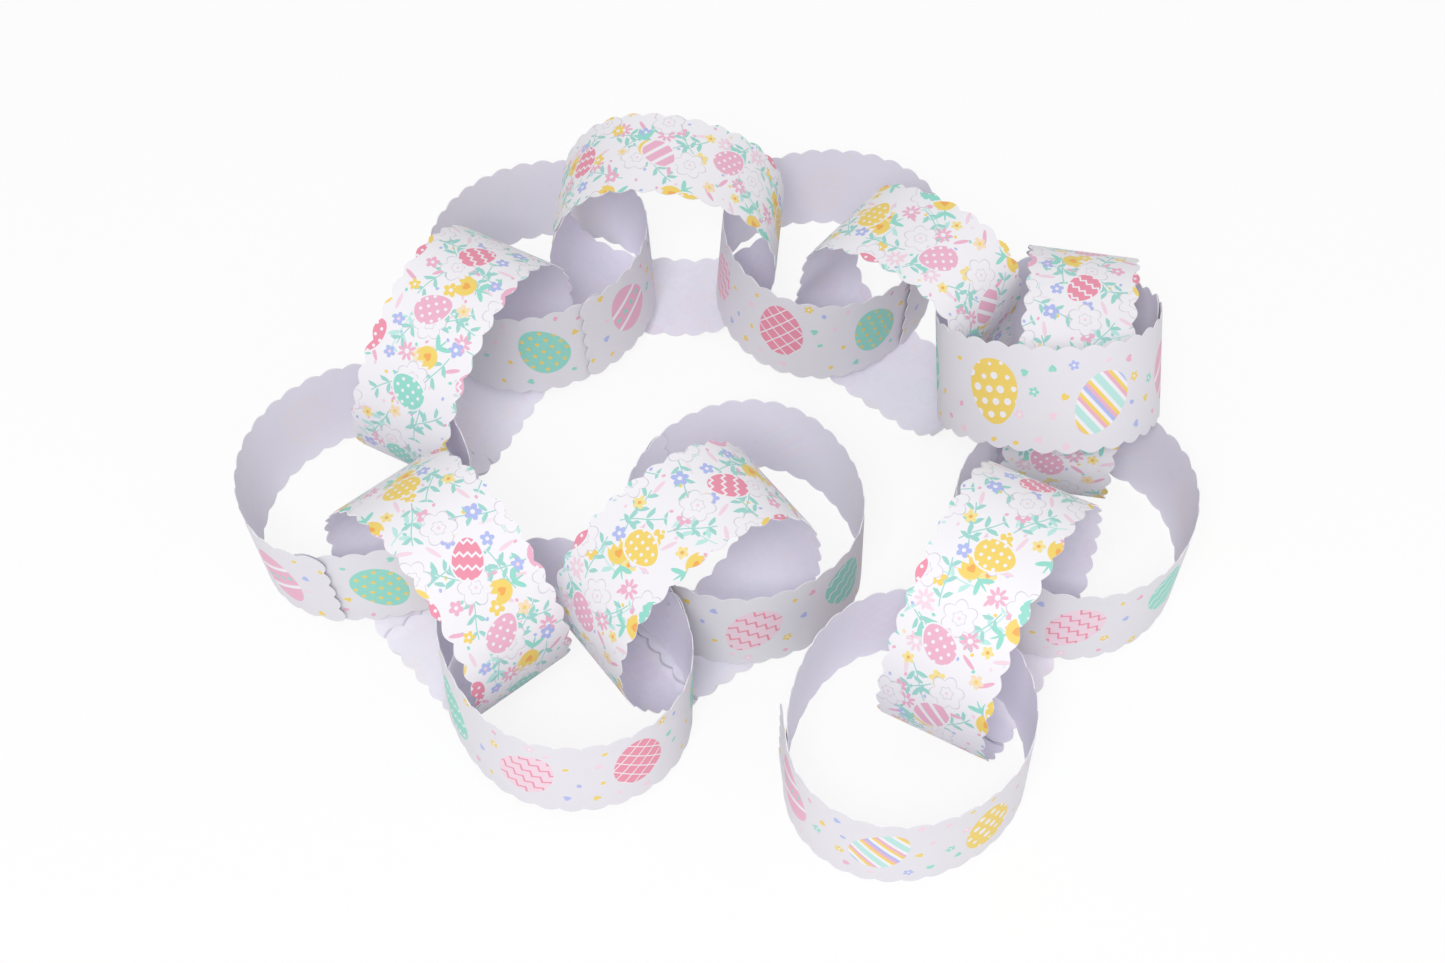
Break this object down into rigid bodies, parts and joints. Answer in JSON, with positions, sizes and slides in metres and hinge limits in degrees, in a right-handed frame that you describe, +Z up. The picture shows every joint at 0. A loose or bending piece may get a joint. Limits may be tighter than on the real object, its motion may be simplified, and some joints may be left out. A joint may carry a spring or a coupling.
{
  "type": "paper chain garland",
  "caption": "Chain of card rings with scalloped edges, threaded through one another, standing and lying by turns on a table.",
  "frame": {"origin": "middle of the garland's footprint, on the table that it lies on", "axes": "+X to the right and +Y away from the viewer of the picture, +Z up from the table"},
  "size_m": [0.351, 0.3086, 0.0919],
  "materials": {
    "egg_print_card": "matt white card, printed on one side with scattered coloured eggs",
    "floral_print_card": "satin white card, printed on one side with a dense pattern of leaves and flowers"
  },
  "bodies": {
    "root": {"link_01_egg_print": "egg_print_card", "link_02_floral_print": "floral_print_card", "link_03_egg_print": "egg_print_card", "link_04_floral_print": "floral_print_card", "link_05_egg_print": "egg_print_card", "link_06_floral_print": "floral_print_card", "link_07_egg_print": "egg_print_card", "link_08_floral_print": "floral_print_card", "link_09_egg_print": "egg_print_card", "link_10_floral_print": "floral_print_card", "link_11_egg_print": "egg_print_card", "link_12_floral_print": "floral_print_card", "link_13_egg_print": "egg_print_card", "link_14_floral_print": "floral_print_card", "link_15_egg_print": "egg_print_card"}
  },
  "joints": []
}
